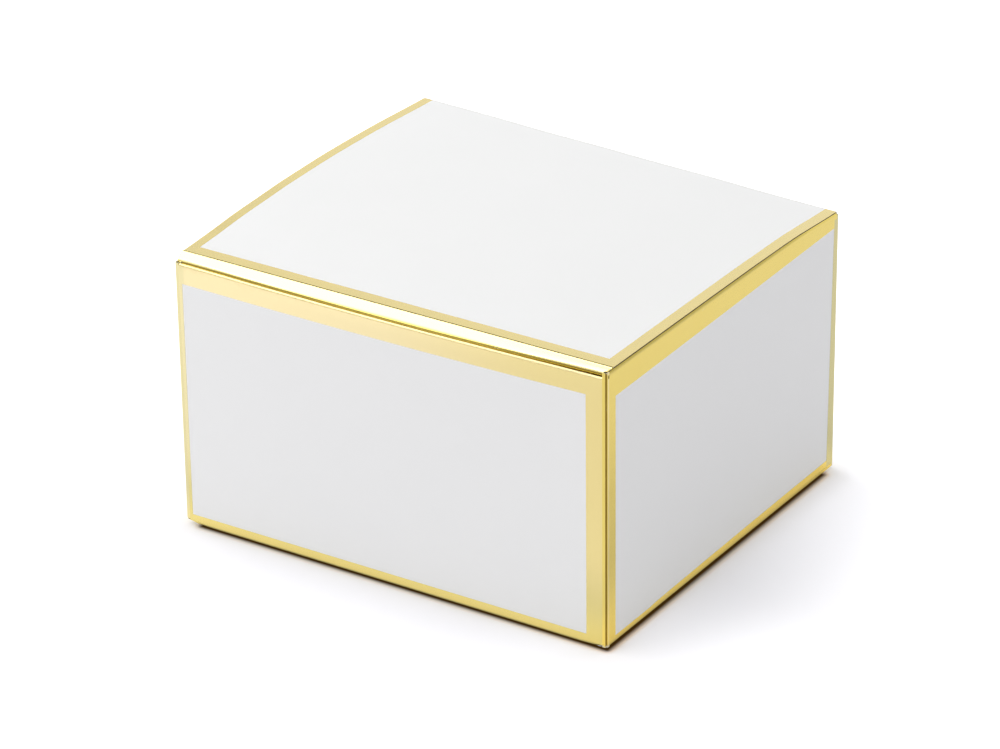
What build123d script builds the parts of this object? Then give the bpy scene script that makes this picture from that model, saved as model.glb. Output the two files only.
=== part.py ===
from build123d import *

import os
from math import cos, radians, sin, tan

# Favor box: a folding carton of white card with gold foil along its folds, shown closed.
# Lengths are millimetres and angles degrees. The base is on z = 0, the front wall faces -Y,
# the lid is hinged along the top of the back wall and tucks in behind the front wall.
# The bottom closes in the same way the other way round: hinged at the front, tucked in at the back.

# Overall size, over the foil
box_width = 60.0
box_depth = 54.0
box_height = 36.0

# Board, foil and folds
board = 0.40
foil = 0.02
fold_inside = 0.18
roll_inside = 0.78

# Lid and bottom panel: how far their side edges stand in, and how far the lid bows up
panel_inset = 0.50
lid_bow_left = 1.50
lid_bow_right = 0.15

# Tuck flaps, which slip in behind the cut edge of the wall opposite the hinge
lip_drop = 1.10
tuck_gap = 0.20
tuck_length = 11.0
tuck_lean = 14.0
tuck_side_gap = 0.78
tuck_taper = 2.0
tuck_corner = 5.0
roll_side_gap = 0.33

# Dust flaps, folded in from the side walls under the lid and over the bottom panel
slip = 0.15
dust_opening = 20.8
dust_tuck_gap = 0.60
dust_hinge_gap = 1.00
dust_tuck_taper = 8.0
dust_hinge_taper = 36.0
dust_corner = 3.0

# Glue flap, stuck to the inside of the left wall to close the sleeve
glue_width = 10.0
glue_line = 0.05
glue_end_gap = 1.0
glue_end_taper = 15.0
glue_margin = 1.0
seam_reveal = 0.35

# White windows in the gold: border widths in from the outside of the box
front_left_border = 1.05
front_right_border = 2.75
front_top_border = 3.60
front_bottom_border = 1.50
side_front_border = 1.95
side_back_border = 1.40
side_top_border = 3.45
side_bottom_border = 1.85
right_window_turn = 1.1
back_side_border = 1.60
back_top_border = 2.00
back_bottom_border = 3.00
lid_left_border = 1.10
lid_right_border = 0.90
lid_front_border = 1.30
tuck_foil_width = 3.0

# What follows from these
skin = board + foil
fold_outside = fold_inside + skin
roll_outside = roll_inside + skin
half_width = box_width / 2
half_depth = box_depth / 2
inner_x = half_width - skin
inner_y = half_depth - skin
flat_x = half_width - fold_outside
flat_y = half_depth - fold_outside

# Heights at the top. Those at the bottom are the same distances up from the base.
hinge_top = box_height - fold_outside
lip_top = box_height - lip_drop
dust_top = box_height - skin - slip
side_top = dust_top - fold_outside
side_bottom = box_height - side_top

# The closing panels run from the hinge fold to the rolled fold of the tuck flap.
panel_half = half_width - panel_inset
panel_back = flat_y
panel_front = -(inner_y - tuck_gap - roll_outside)
roll_half = inner_x - roll_side_gap
tuck_half = inner_x - tuck_side_gap
dust_length = flat_x - dust_opening / 2
seam_x = -(inner_x - glue_line - fold_outside)


def block(x0, x1, y0, y1, z0, z1):
    """A box between two opposite corners."""
    centre = Pos((x0 + x1) / 2, (y0 + y1) / 2, (z0 + z1) / 2)
    return centre * Box(x1 - x0, y1 - y0, z1 - z0)


def ring_sector(centre, outside, start, sweep):
    """Section of a folded strip of card: an arc as thick as the board and its foil."""
    outer = CenterArc(centre, outside, start, sweep)
    inner = CenterArc(centre, outside - skin, start, sweep)
    ends = [Line(outer @ 0, inner @ 0), Line(outer @ 1, inner @ 1)]
    return make_face([outer, inner, *ends])


def rounded_outline(points, radii):
    """A closed outline with its own radius at each corner."""
    return make_face(FilletPolyline(*points, radius=radii, close=True))


def turned_over(piece):
    """Carries a piece of the top closure to the same place on the bottom."""
    return Pos(0, 0, box_height) * Rot(180, 0, 0) * piece


def on_the_left(piece):
    """The left-hand twin of a piece on the right."""
    return mirror(piece, about=Plane.YZ)


# Sleeve: four walls, the folds at their corners and the glued seam at the back left corner


def corner_fold(centre, start, bottom, top):
    section = Plane.XY.offset(bottom) * ring_sector(centre, fold_outside, start, 90)
    return extrude(section, amount=top - bottom)


def side_wall(back_end):
    return block(inner_x, half_width - foil, -flat_y, back_end, side_bottom, side_top)


def glue_seam():
    """The glue flap, the fold that joins it to the back wall, and its line of glue."""
    bottom = side_bottom + glue_end_gap
    top = side_top - glue_end_gap
    tip = flat_y - glue_width
    rise = glue_width * tan(radians(glue_end_taper))
    outline = Polyline(
        (flat_y, bottom), (tip, bottom + rise), (tip, top - rise), (flat_y, top), close=True
    )
    outer_face = inner_x - glue_line
    flap = extrude(Plane.YZ.offset(-outer_face) * make_face(outline), amount=board)
    fold = corner_fold((seam_x, flat_y), 90, bottom, top)
    glue = block(
        -inner_x,
        -outer_face,
        tip + glue_margin,
        flat_y - glue_margin,
        bottom + rise,
        top - rise,
    )
    return flap, fold, glue


# Closures, modelled at the top of the box


def arch(level, bow):
    """A panel's lengthways line at one side edge, straight or bowed up."""
    front = (panel_front, level)
    back = (panel_back, level)
    if bow == 0:
        return Line(front, back)
    middle = ((panel_front + panel_back) / 2, level + bow)
    return ThreePointArc(front, middle, back)


def arched_section(level, thickness, bow):
    ends = []
    for y in (panel_front, panel_back):
        ends.append(Line((y, level), (y, level + thickness)))
    return make_face([arch(level, bow), arch(level + thickness, bow), *ends])


def closing_sheet(level, thickness, bow_left, bow_right):
    """A sheet over the whole closing panel, with its own bow at the left and right edge."""
    left = Plane.YZ.offset(-panel_half) * arched_section(level, thickness, bow_left)
    right = Plane.YZ.offset(panel_half) * arched_section(level, thickness, bow_right)
    return loft([left, right], ruled=True)


def lid_panel():
    return closing_sheet(box_height - skin, board, lid_bow_left, lid_bow_right)


def bottom_panel():
    """The flat twin of the lid. It has no foil, so its bare board is what stands on the table."""
    return turned_over(closing_sheet(box_height - board, board, 0, 0))


def hinge_fold():
    section = Plane.YZ * ring_sector((flat_y, hinge_top), fold_outside, 0, 90)
    return extrude(section, amount=flat_x, both=True)


def tuck_fold():
    centre = (panel_front, box_height - roll_outside)
    section = Plane.YZ * ring_sector(centre, roll_outside, 90, 90 + tuck_lean)
    return extrude(section, amount=roll_half, both=True)


def tuck_plane():
    """The outer face of the tuck flap's board: x along the fold, -y towards the tip."""
    lean = radians(tuck_lean)
    reach = roll_outside - foil
    start = (
        0,
        panel_front - reach * cos(lean),
        box_height - roll_outside - reach * sin(lean),
    )
    return Plane(origin=start, x_dir=(1, 0, 0), z_dir=(0, -cos(lean), -sin(lean)))


def tuck_outline():
    tip = tuck_half - tuck_taper
    points = [(-tuck_half, 0), (-tip, -tuck_length), (tip, -tuck_length), (tuck_half, 0)]
    return rounded_outline(points, [0, tuck_corner, tuck_corner, 0])


def tuck_flap():
    return extrude(tuck_plane() * tuck_outline(), amount=-board)


def tuck_foil():
    """The gold that runs on past the fold, over the root of the tuck flap."""
    strip = Pos(0, -tuck_foil_width / 2) * Rectangle(box_width, tuck_foil_width)
    return extrude(tuck_plane() * (tuck_outline() & strip), amount=foil)


def dust_fold():
    section = Plane.XZ * ring_sector((flat_x, side_top), fold_outside, 0, 90)
    return extrude(section, amount=flat_y, both=True)


def dust_flap():
    front = panel_front + dust_tuck_gap
    back = panel_back - dust_hinge_gap
    tip = flat_x - dust_length
    front_tip = front + dust_length * tan(radians(dust_tuck_taper))
    back_tip = back - dust_length * tan(radians(dust_hinge_taper))
    points = [(flat_x, front), (flat_x, back), (tip, back_tip), (tip, front_tip)]
    outline = rounded_outline(points, [0, 0, dust_corner, dust_corner])
    return extrude(Plane.XY.offset(dust_top - foil) * outline, amount=-board)


# Gold foil frames on the outside of the board


def side_foil(back_end, turn):
    """The frame on a side wall, with its white window turned a little in the wall's plane."""
    outline = block(half_width - foil, half_width, -flat_y, back_end, side_bottom, side_top)
    front = -(half_depth - side_front_border)
    back = half_depth - side_back_border
    bottom = side_bottom_border
    top = box_height - side_top_border
    window = Box(box_width, back - front, top - bottom)
    return outline - Pos(half_width, (front + back) / 2, (bottom + top) / 2) * Rot(turn, 0, 0) * window


def front_foil():
    outline = block(-flat_x, flat_x, -half_depth, foil - half_depth, fold_outside, lip_top)
    window = block(
        front_left_border - half_width,
        half_width - front_right_border,
        -box_depth,
        0,
        front_bottom_border,
        box_height - front_top_border,
    )
    return outline - window


def back_foil():
    outline = block(seam_x, flat_x, half_depth - foil, half_depth, lip_drop, hinge_top)
    window = block(
        back_side_border - half_width,
        half_width - back_side_border,
        0,
        box_depth,
        back_bottom_border,
        box_height - back_top_border,
    )
    return outline - window


def lid_foil():
    """Gold along the front and both sides of the lid, and none along the hinge."""
    sheet = closing_sheet(box_height - foil, foil, lid_bow_left, lid_bow_right)
    window = block(
        lid_left_border - panel_half,
        panel_half - lid_right_border,
        panel_front + lid_front_border,
        box_depth,
        0,
        2 * box_height,
    )
    return sheet - window


def all_pieces():
    left_wall_end = half_depth - seam_reveal
    glue_flap, seam_fold, seam_glue = glue_seam()
    board_front = half_depth - foil
    return {
        "front_wall": block(-flat_x, flat_x, -board_front, -inner_y, fold_outside, lip_top),
        "back_wall": block(seam_x, flat_x, inner_y, board_front, lip_drop, hinge_top),
        "right_wall": side_wall(flat_y),
        "left_wall": on_the_left(side_wall(left_wall_end)),
        "front_right_corner_fold": corner_fold((flat_x, -flat_y), -90, side_bottom, side_top),
        "front_left_corner_fold": corner_fold((-flat_x, -flat_y), 180, side_bottom, side_top),
        "back_right_corner_fold": corner_fold((flat_x, flat_y), 0, side_bottom, side_top),
        "seam_corner_fold": seam_fold,
        "glue_flap": glue_flap,
        "seam_glue": seam_glue,
        "front_wall_foil": front_foil(),
        "back_wall_foil": back_foil(),
        "right_wall_foil": side_foil(flat_y, right_window_turn),
        "left_wall_foil": on_the_left(side_foil(left_wall_end, 0)),
        "lid_hinge_fold": hinge_fold(),
        "lid_panel": lid_panel(),
        "lid_foil": lid_foil(),
        "lid_tuck_fold": tuck_fold(),
        "lid_tuck_flap": tuck_flap(),
        "lid_tuck_foil": tuck_foil(),
        "top_right_dust_fold": dust_fold(),
        "top_left_dust_fold": on_the_left(dust_fold()),
        "top_right_dust_flap": dust_flap(),
        "top_left_dust_flap": on_the_left(dust_flap()),
        "bottom_hinge_fold": turned_over(hinge_fold()),
        "bottom_panel": bottom_panel(),
        "bottom_tuck_fold": turned_over(tuck_fold()),
        "bottom_tuck_flap": turned_over(tuck_flap()),
        "bottom_tuck_foil": turned_over(tuck_foil()),
        "bottom_right_dust_fold": turned_over(dust_fold()),
        "bottom_left_dust_fold": turned_over(on_the_left(dust_fold())),
        "bottom_right_dust_flap": turned_over(dust_flap()),
        "bottom_left_dust_flap": turned_over(on_the_left(dust_flap())),
    }


os.makedirs("parts", exist_ok=True)
for name, piece in all_pieces().items():
    export_step(piece, f"parts/{name}.step")
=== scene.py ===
from math import cos, pi, radians, sin, tan

import bpy
from mathutils import Matrix, Vector


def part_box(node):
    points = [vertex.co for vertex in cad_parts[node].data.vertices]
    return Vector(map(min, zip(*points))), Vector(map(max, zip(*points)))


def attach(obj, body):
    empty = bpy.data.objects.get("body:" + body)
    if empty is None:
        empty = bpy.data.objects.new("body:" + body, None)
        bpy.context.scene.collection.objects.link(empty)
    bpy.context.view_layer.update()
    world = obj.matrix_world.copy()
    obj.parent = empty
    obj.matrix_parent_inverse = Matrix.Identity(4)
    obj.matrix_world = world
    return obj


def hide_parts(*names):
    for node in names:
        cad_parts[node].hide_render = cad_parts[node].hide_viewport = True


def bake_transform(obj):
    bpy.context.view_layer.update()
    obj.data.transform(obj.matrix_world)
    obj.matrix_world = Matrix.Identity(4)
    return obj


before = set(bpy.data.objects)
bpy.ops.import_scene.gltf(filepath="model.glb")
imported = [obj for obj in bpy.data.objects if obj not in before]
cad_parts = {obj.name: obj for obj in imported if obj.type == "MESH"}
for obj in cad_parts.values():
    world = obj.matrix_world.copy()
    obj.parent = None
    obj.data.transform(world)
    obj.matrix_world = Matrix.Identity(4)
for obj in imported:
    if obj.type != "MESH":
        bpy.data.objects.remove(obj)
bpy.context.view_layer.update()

# Favor box: white card with gold foil along its folds. Lengths are metres, as in model.glb.
mm = 0.001
X = Vector((1, 0, 0))
Y = Vector((0, 1, 0))
Z = Vector((0, 0, 1))

# Outside faces, board and foil, read from the parts in model.glb
front_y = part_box("front_wall_foil")[0].y
back_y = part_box("back_wall_foil")[1].y
right_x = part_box("right_wall_foil")[1].x
box_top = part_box("lid_tuck_fold")[1].z
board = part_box("bottom_panel")[1].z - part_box("bottom_panel")[0].z
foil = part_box("front_wall")[0].y - front_y
skin = board + foil

# White windows in the gold: border widths, seen from outside as left, right, bottom, top
front_borders = (1.05 * mm, 2.75 * mm, 1.50 * mm, 3.60 * mm)
right_borders = (1.95 * mm, 1.50 * mm, 1.60 * mm, 3.45 * mm)
left_borders = (1.15 * mm, 1.95 * mm, 1.60 * mm, 3.45 * mm)
back_borders = (1.60 * mm, 1.60 * mm, 3.00 * mm, 2.00 * mm)
right_window_turn = radians(1.1)
lid_left_border = 1.15 * mm
lid_right_border = 1.62 * mm
lid_front_border = 1.50 * mm

# How the card has warped: the lid lifts along its left edge and the back of the box leans down to the right
lid_lift_front = -0.10 * mm
lid_lift_back = 0.95 * mm
lid_lift_bow = 0.98 * mm
lid_sink_right = 0.30 * mm
lid_sink_back = 0.75 * mm
sink_sharpness = 6
front_bulge = 0.50 * mm
roll_bulge = 0.36 * mm
roll_left_shrink = -0.15 * mm
roll_right_shrink = 0.22 * mm
roll_roundness = 0.43
side_bulge = 0.15 * mm
side_settle = 0.45 * mm
flap_sag = 0.80 * mm

# How close the card comes at its edges and corners
lid_left_reach = 0.25 * mm
lid_right_reach = 0.45 * mm
roll_left_spread = 0.72 * mm
roll_right_spread = 0.50 * mm
lip_radius = board / 2
lip_inside = 0.60 * mm
lip_steps = 8
right_rise = 0.75 * mm
left_rise = 0.15 * mm
back_rise = 0.47 * mm
right_drop = 0.80 * mm
left_drop = 0.40 * mm
back_drop = 0.80 * mm
seam_rise = 2.40 * mm
seam_drop = 0.60 * mm
upright_round = 0.32 * mm
crease_depth = 0.06 * mm
crease_width = 0.12 * mm
ridge_height = 0.92 * mm
ridge_round = 0.50 * mm
ridge_skin = 0.20 * mm
ridge_reach = 0.30 * mm
settled_height = 1.07 * mm
hinge_reach = 0.32 * mm
corner_lift = 0.70 * mm
corner_sharpness = 40
droop_steps = 8
bottom_recess = 0.60 * mm

# Folds and flaps
tuck_lean = radians(14)
tuck_length = 11.0 * mm
tuck_taper = 2.0 * mm
tuck_corner = 5.0 * mm
tuck_foil_width = 3.0 * mm
dust_tuck_taper = radians(8)
dust_hinge_taper = radians(36)
dust_corner = 3.0 * mm
glue_end_taper = radians(15)
fold_steps = 10
corner_steps = 8
sheet_cell = 1.5 * mm
fold_cell = 1.5 * mm
smooth_angle = radians(35)

# A round nearly as wide as its fold leaves a hair of flat card on each side, so that the bevel stays whole.
fold_round_share = 0.98
roll_round_share = 0.99

# Points closer than this count as one.
same_place = foil / 10

# A face of the lid's card is part of a side edge if its normal points this far sideways.
sideways = 0.7


# Working on one piece at a time


def set_mode(mode):
    if bpy.context.object and bpy.context.object.mode != mode:
        bpy.ops.object.mode_set(mode=mode)


def pick(piece=None):
    """Leaves only this piece selected, or nothing."""
    set_mode("OBJECT")
    bpy.ops.object.select_all(action="DESELECT")
    if piece:
        piece.select_set(True)
        bpy.context.view_layer.objects.active = piece


def mark(piece, kind, wanted):
    """Opens a piece for editing with only the wanted edges or faces selected."""
    pick(piece)
    set_mode("EDIT")
    bpy.ops.mesh.select_mode(type=kind)
    bpy.ops.mesh.select_all(action="DESELECT")
    set_mode("OBJECT")
    mesh = piece.data
    if kind == "FACE":
        for face in mesh.polygons:
            face.select = wanted(face.center)
    else:
        for edge in mesh.edges:
            edge.select = all(wanted(mesh.vertices[i].co) for i in edge.vertices)
    set_mode("EDIT")


def open_whole(piece):
    """Opens a piece for editing with all of it selected."""
    pick(piece)
    set_mode("EDIT")
    bpy.ops.mesh.select_all(action="SELECT")


def apply(piece, modifier):
    pick(piece)
    bpy.ops.object.modifier_apply(modifier=modifier.name)


# Sheets of card


def sheet(name, centre, across, up, width, height, cells):
    """A flat grid of card at its place, facing along across x up."""
    pick()
    bpy.ops.mesh.primitive_grid_add(x_subdivisions=cells[0], y_subdivisions=cells[1], size=1)
    piece = bpy.context.object
    piece.name = name
    axes = Matrix((across, up, across.cross(up))).transposed().to_4x4()
    piece.matrix_world = Matrix.Translation(centre) @ axes @ Matrix.Diagonal((width, height, 1, 1))
    bpy.ops.object.transform_apply(location=True, rotation=True, scale=True)
    return piece


def panel_sheet(name, centre, across, up, width, height):
    """A sheet whose cells are about sheet_cell wide."""
    cells = [max(2, round(length / sheet_cell)) for length in (width, height)]
    return sheet(name, centre, across, up, width, height, cells)


def cut(piece, lines, trim=False):
    """Cuts a sheet along lines, each a point and its outward direction. Trimming drops what is outside."""
    pick(piece)
    set_mode("EDIT")
    for point, outward in lines:
        bpy.ops.mesh.select_all(action="SELECT")
        bpy.ops.mesh.bisect(plane_co=point, plane_no=outward, clear_outer=trim)
    set_mode("OBJECT")


def split_foil(name, card, lines):
    """Copies the card's faces outside its white window into a sheet of foil of their own."""
    cut(card, lines)
    mark(card, "FACE", lambda centre: any((centre - point).dot(outward) > 0 for point, outward in lines))
    bpy.ops.mesh.duplicate()
    bpy.ops.mesh.separate(type="SELECTED")
    set_mode("OBJECT")
    gold_sheet = next(piece for piece in bpy.context.selected_objects if piece != card)
    gold_sheet.name = name
    return gold_sheet


def bend(pieces, low, high, counts, offset):
    """Bends pieces with a cage from low to high, whose points move by offset(share across, deep, up)."""
    pick()
    size = Vector(max(end - start, mm) for start, end in zip(low, high))
    bpy.ops.object.add(type="LATTICE", location=(low + high) / 2)
    cage = bpy.context.object
    cage.scale = size
    cage.data.points_u, cage.data.points_v, cage.data.points_w = counts
    for direction in "uvw":
        setattr(cage.data, f"interpolation_type_{direction}", "KEY_CARDINAL")
    for point in cage.data.points:
        share = [at + 0.5 for at in point.co]
        move = offset(*share)
        point.co_deform = [at + step / length for at, step, length in zip(point.co, move, size)]
    bpy.context.view_layer.update()
    for piece in pieces:
        modifier = piece.modifiers.new("bend", "LATTICE")
        modifier.object = cage
        apply(piece, modifier)
    bpy.data.objects.remove(cage)


def thicken(piece, thickness, side, finishes):
    """Gives a sheet its finishes and thickness, behind its face for -1 or in front of it for 1."""
    for finish in finishes:
        piece.data.materials.append(finish)
    modifier = piece.modifiers.new("thickness", "SOLIDIFY")
    modifier.thickness = thickness
    modifier.offset = side
    modifier.use_even_offset = True
    modifier.use_quality_normals = True
    modifier.material_offset = min(1, len(finishes) - 1)
    modifier.material_offset_rim = min(2, len(finishes) - 1)
    apply(piece, modifier)
    bpy.ops.object.shade_smooth_by_angle(angle=smooth_angle)


def refinish(piece, finish, wanted):
    """Gives the wanted faces of a finished piece another finish."""
    piece.data.materials.append(finish)
    for face in piece.data.polygons:
        if wanted(face):
            face.material_index = len(piece.data.materials) - 1


def face_outwards(piece, outward):
    """Turns the faces of an open sheet to the side that outward points to."""
    open_whole(piece)
    bpy.ops.mesh.normals_make_consistent(inside=False)
    set_mode("OBJECT")
    lean = sum(face.normal.dot(outward) * face.area for face in piece.data.polygons)
    if lean < 0:
        open_whole(piece)
        bpy.ops.mesh.flip_normals()
        set_mode("OBJECT")


def turn_over(piece, *points):
    """Carries a piece of the top closure, and points on it, to the same place on the bottom."""
    open_whole(piece)
    bpy.ops.transform.rotate(value=pi, orient_axis="X", center_override=(0, 0, box_top / 2))
    set_mode("OBJECT")
    return [Vector((point.x, -point.y, box_top - point.z)) for point in points]


def folded_strip(name, axis, ends, corners, leg, outward, roundness=0.5):
    """A strip folded along axis: its outer face runs through three corners, round at the middle one."""
    foot, crest, tip = corners
    length = ends[1] - ends[0]
    run = crest - foot
    centre = axis * (ends[0] + ends[1]) / 2 + (foot + crest) / 2
    cells = (round(length / fold_cell), 1)
    strip = sheet(name, centre, axis, run.normalized(), length, run.length, cells)

    def on_crest(point):
        return (point - crest - axis * axis.dot(point - crest)).length < same_place

    mark(strip, "EDGE", on_crest)
    bpy.ops.mesh.extrude_region_move(TRANSFORM_OT_translate={"value": tip - crest})
    mark(strip, "EDGE", on_crest)
    bpy.ops.mesh.bevel(offset=leg, segments=fold_steps, profile=roundness, affect="EDGES")
    face_outwards(strip, outward)
    return strip


def tapered(half, length, start_run, end_run):
    """A flap's outline: its fold runs from -half to half, and its two ends draw in by their runs."""
    return [
        Vector((-half, 0)),
        Vector((half, 0)),
        Vector((half - end_run, length)),
        Vector((start_run - half, length)),
    ]


def outline_lines(points, rounds):
    """Cutting lines round a convex outline, listed anticlockwise, with a radius at each corner."""
    lines = []
    count = len(points)
    normals = []
    for i, point in enumerate(points):
        run = (points[(i + 1) % count] - point).normalized()
        normals.append(Vector((run.y, -run.x)))
        lines.append((point, normals[i]))
    for i, radius in enumerate(rounds):
        if radius == 0:
            continue
        before, after = normals[i - 1], normals[i]
        centre = points[i] - (before + after) * radius / (1 + before.dot(after))
        for step in range(1, corner_steps):
            outward = before.lerp(after, step / corner_steps).normalized()
            lines.append((centre + outward * radius, outward))
    return lines


def flap(name, root, along, reach, points, radius=0):
    """A flat flap of card: points are distances along its fold and out from it, its far corners round."""
    widths = [point.x for point in points]
    depths = [point.y for point in points]
    width, depth = max(widths) - min(widths), max(depths) - min(depths)
    middle = root + along * (max(widths) + min(widths)) / 2 + reach * (max(depths) + min(depths)) / 2
    piece = panel_sheet(name, middle, along, reach, width, depth)
    lines = [
        (root + along * point.x + reach * point.y, along * outward.x + reach * outward.y)
        for point, outward in outline_lines(points, [0, 0, radius, radius])
    ]
    cut(piece, lines, trim=True)
    return piece


# Finishes: the shader nodes they are built from


def node(tree, kind, inputs=None, **settings):
    """Adds a shader node. Inputs are numbers, or sockets to link."""
    made = tree.nodes.new(kind)
    for name, value in settings.items():
        setattr(made, name, value)
    for name, value in (inputs or {}).items():
        if isinstance(value, bpy.types.NodeSocket):
            tree.links.new(value, made.inputs[name])
        else:
            made.inputs[name].default_value = value
    return made


def combine(tree, operation, *terms, clamp=False):
    """One step of arithmetic on numbers or sockets, such as ADD or MULTIPLY."""
    step = node(tree, "ShaderNodeMath", dict(enumerate(terms)), operation=operation, use_clamp=clamp)
    return step.outputs[0]


def combine_places(tree, operation, *terms):
    """The same for places, which have three parts."""
    return node(tree, "ShaderNodeVectorMath", dict(enumerate(terms)), operation=operation).outputs[0]


def mix_values(tree, share, first, second):
    return node(tree, "ShaderNodeMix", {0: share, 2: first, 3: second}, data_type="FLOAT").outputs[0]


def mix_colours(tree, share, first, second):
    """Mixes two colours, each a socket or three numbers."""
    ends = [end if isinstance(end, bpy.types.NodeSocket) else (*end, 1) for end in (first, second)]
    return node(tree, "ShaderNodeMix", {0: share, 6: ends[0], 7: ends[1]}, data_type="RGBA").outputs[2]


def remap(tree, value, low, high, to_low, to_high):
    """A smooth change from to_low to to_high, as value goes from low to high."""
    ends = {"From Min": low, "From Max": high, "To Min": to_low, "To Max": to_high}
    made = node(tree, "ShaderNodeMapRange", {"Value": value, **ends}, interpolation_type="SMOOTHSTEP")
    return made.outputs["Result"]


def noise(tree, place, scale, detail, roughness=0.5):
    inputs = {"Vector": place, "Scale": scale, "Detail": detail, "Roughness": roughness}
    return node(tree, "ShaderNodeTexNoise", inputs).outputs[0]


def split_place(tree, place):
    return node(tree, "ShaderNodeSeparateXYZ", {"Vector": place}).outputs


def effect_group(name, inputs, outputs):
    """A shader node group with its inputs (name and default) and outputs, and the tree to fill."""
    tree = bpy.data.node_groups.new(name, "ShaderNodeTree")
    tree.interface.new_socket("Place", in_out="INPUT", socket_type="NodeSocketVector")
    for label, value in inputs.items():
        socket = tree.interface.new_socket(label, in_out="INPUT", socket_type="NodeSocketFloat")
        socket.default_value = value
    for label in outputs:
        tree.interface.new_socket(label, in_out="OUTPUT", socket_type="NodeSocketFloat")
    return tree, tree.nodes.new("NodeGroupInput").outputs, tree.nodes.new("NodeGroupOutput").inputs


# Grain of the paper, the foil and the glue, per metre, how grains mix, and where foil cracks and rubs off
coated_fibres = 2600.0
bare_fibres = 1700.0
edge_fibres = 6000.0
paper_clouds = 140.0
paper_warp = 900.0
warp_share = 0.35
foil_swells = 180.0
foil_grains = 5000.0
grain_in_ripple = 0.08
grain_in_haze = 0.5
crack_grains = 4200.0
crack_spread = (0.70, 0.78, 0.0, 0.7)
rubbed_patches = 2500.0
rubbed_depth = 1.0 * mm
rubbed_spread = (-0.5 * mm, -0.1 * mm, 0.8, 0.0)
glue_streaks = 700.0


def card_fibre_group():
    """Fibres and cloudiness of paper: Cloud for colour and gloss, Fibre for relief and specks."""
    tree, given, made = effect_group("card_fibre", {"Fibres per metre": coated_fibres}, ["Cloud", "Fibre"])
    warp = noise(tree, given["Place"], paper_warp, detail=1.0)
    strands = noise(tree, given["Place"], given["Fibres per metre"], detail=5.0, roughness=0.65)
    tree.links.new(noise(tree, given["Place"], paper_clouds, detail=4.0), made["Cloud"])
    tree.links.new(mix_values(tree, warp_share, strands, warp), made["Fibre"])
    return tree


def foil_ripple_group():
    """The slight unevenness of foil on card: Ripple for relief, Haze for gloss."""
    tree, given, made = effect_group("foil_ripple", {"Grains per metre": foil_grains}, ["Ripple", "Haze"])
    swell = noise(tree, given["Place"], foil_swells, detail=2.0)
    grain = noise(tree, given["Place"], given["Grains per metre"], detail=3.0)
    tree.links.new(mix_values(tree, grain_in_ripple, swell, grain), made["Ripple"])
    tree.links.new(mix_values(tree, grain_in_haze, swell, grain), made["Haze"])
    return tree


def fold_crack_group():
    """Where foil has cracked along a fold and rubbed off towards its two ends."""
    inputs = {"Along": 0.0, "Middle": 0.0, "Half length": 1.0}
    tree, given, made = effect_group("fold_crack", inputs, ["Crack"])
    cracks = remap(tree, noise(tree, given["Place"], crack_grains, detail=3.0), *crack_spread)
    distance = combine(tree, "ABSOLUTE", combine(tree, "SUBTRACT", given["Along"], given["Middle"]))
    inset = combine(tree, "SUBTRACT", given["Half length"], distance)
    patch = noise(tree, given["Place"], rubbed_patches, detail=2.0)
    ragged = combine(tree, "MULTIPLY_ADD", patch, -rubbed_depth, inset)
    rubbed = remap(tree, ragged, *rubbed_spread)
    tree.links.new(combine(tree, "MAXIMUM", cracks, rubbed), made["Crack"])
    return tree


card_fibre = card_fibre_group()
foil_ripple = foil_ripple_group()
fold_crack = fold_crack_group()


def effect(tree, group, place, values=None):
    """Places an effect in a material, with its own values, and gives what it puts out."""
    return node(tree, "ShaderNodeGroup", {"Place": place, **(values or {})}, node_tree=group).outputs


def new_finish(name):
    """A new material with its tree, its shader's inputs and Object coordinates."""
    material = bpy.data.materials.new(name)
    material.use_nodes = True
    tree = material.node_tree
    place = tree.nodes.new("ShaderNodeTexCoord").outputs["Object"]
    return material, tree, tree.nodes["Principled BSDF"].inputs, place


def relief(tree, shader, height, depth):
    bump = node(tree, "ShaderNodeBump", {"Height": height, "Distance": depth, "Strength": 1.0})
    tree.links.new(bump.outputs["Normal"], shader["Normal"])


# Finishes of the card and the glue: a shade and a light colour, a range of roughness, and relief


card_colours = ((0.875, 0.879, 0.875), (0.892, 0.894, 0.892))
card_gloss = (0.40, 0.50)
card_relief = 0.004 * mm
bare_colours = ((0.70, 0.685, 0.65), (0.84, 0.83, 0.80))
bare_gloss = (0.82, 0.95)
bare_relief = 0.02 * mm
cut_colours = ((0.76, 0.72, 0.62), (0.90, 0.88, 0.82))
cut_gloss = (0.80, 0.92)
cut_relief = 0.03 * mm
# Nearly black edge colours: painted shade for the lid's side edges, which lie in the gap beside the walls
painted_shade_edge_colours = ((0.06, 0.04, 0.006), (0.13, 0.09, 0.02))
painted_shade_edge_gloss = (0.45, 0.60)
painted_shade_edge_relief = 0.02 * mm
painted_shade_edge_metal = 0.7
glue_colours = ((0.80, 0.76, 0.62), (0.90, 0.88, 0.80))
glue_gloss = (0.18, 0.40)
glue_relief = 0.03 * mm
hinge_gold_gloss = 0.2

# The stretch of each noise over which a finish changes
cloud_range = (0.3, 0.7)
streak_range = (0.3, 0.7)
bare_specks = (0.30, 0.70)
edge_specks = (0.35, 0.65)


def paper_finish(name, fibres, speck_range, colours, roughness, depth, metal=0.0):
    """Uncoated paper: its two colours mix by fibre, its roughness follows the cloudiness."""
    material, tree, shader, place = new_finish(name)
    paper = effect(tree, card_fibre, place, {"Fibres per metre": fibres})
    specks = remap(tree, paper["Fibre"], *speck_range, 0.0, 1.0)
    tree.links.new(mix_colours(tree, specks, *colours), shader["Base Color"])
    tree.links.new(remap(tree, paper["Cloud"], *cloud_range, *roughness), shader["Roughness"])
    shader["Metallic"].default_value = metal
    relief(tree, shader, paper["Fibre"], depth)
    return material


def bare_card():
    """The uncoated side inside the box: dull, with fibres and specks."""
    return paper_finish("bare_card", bare_fibres, bare_specks, bare_colours, bare_gloss, bare_relief)


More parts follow.
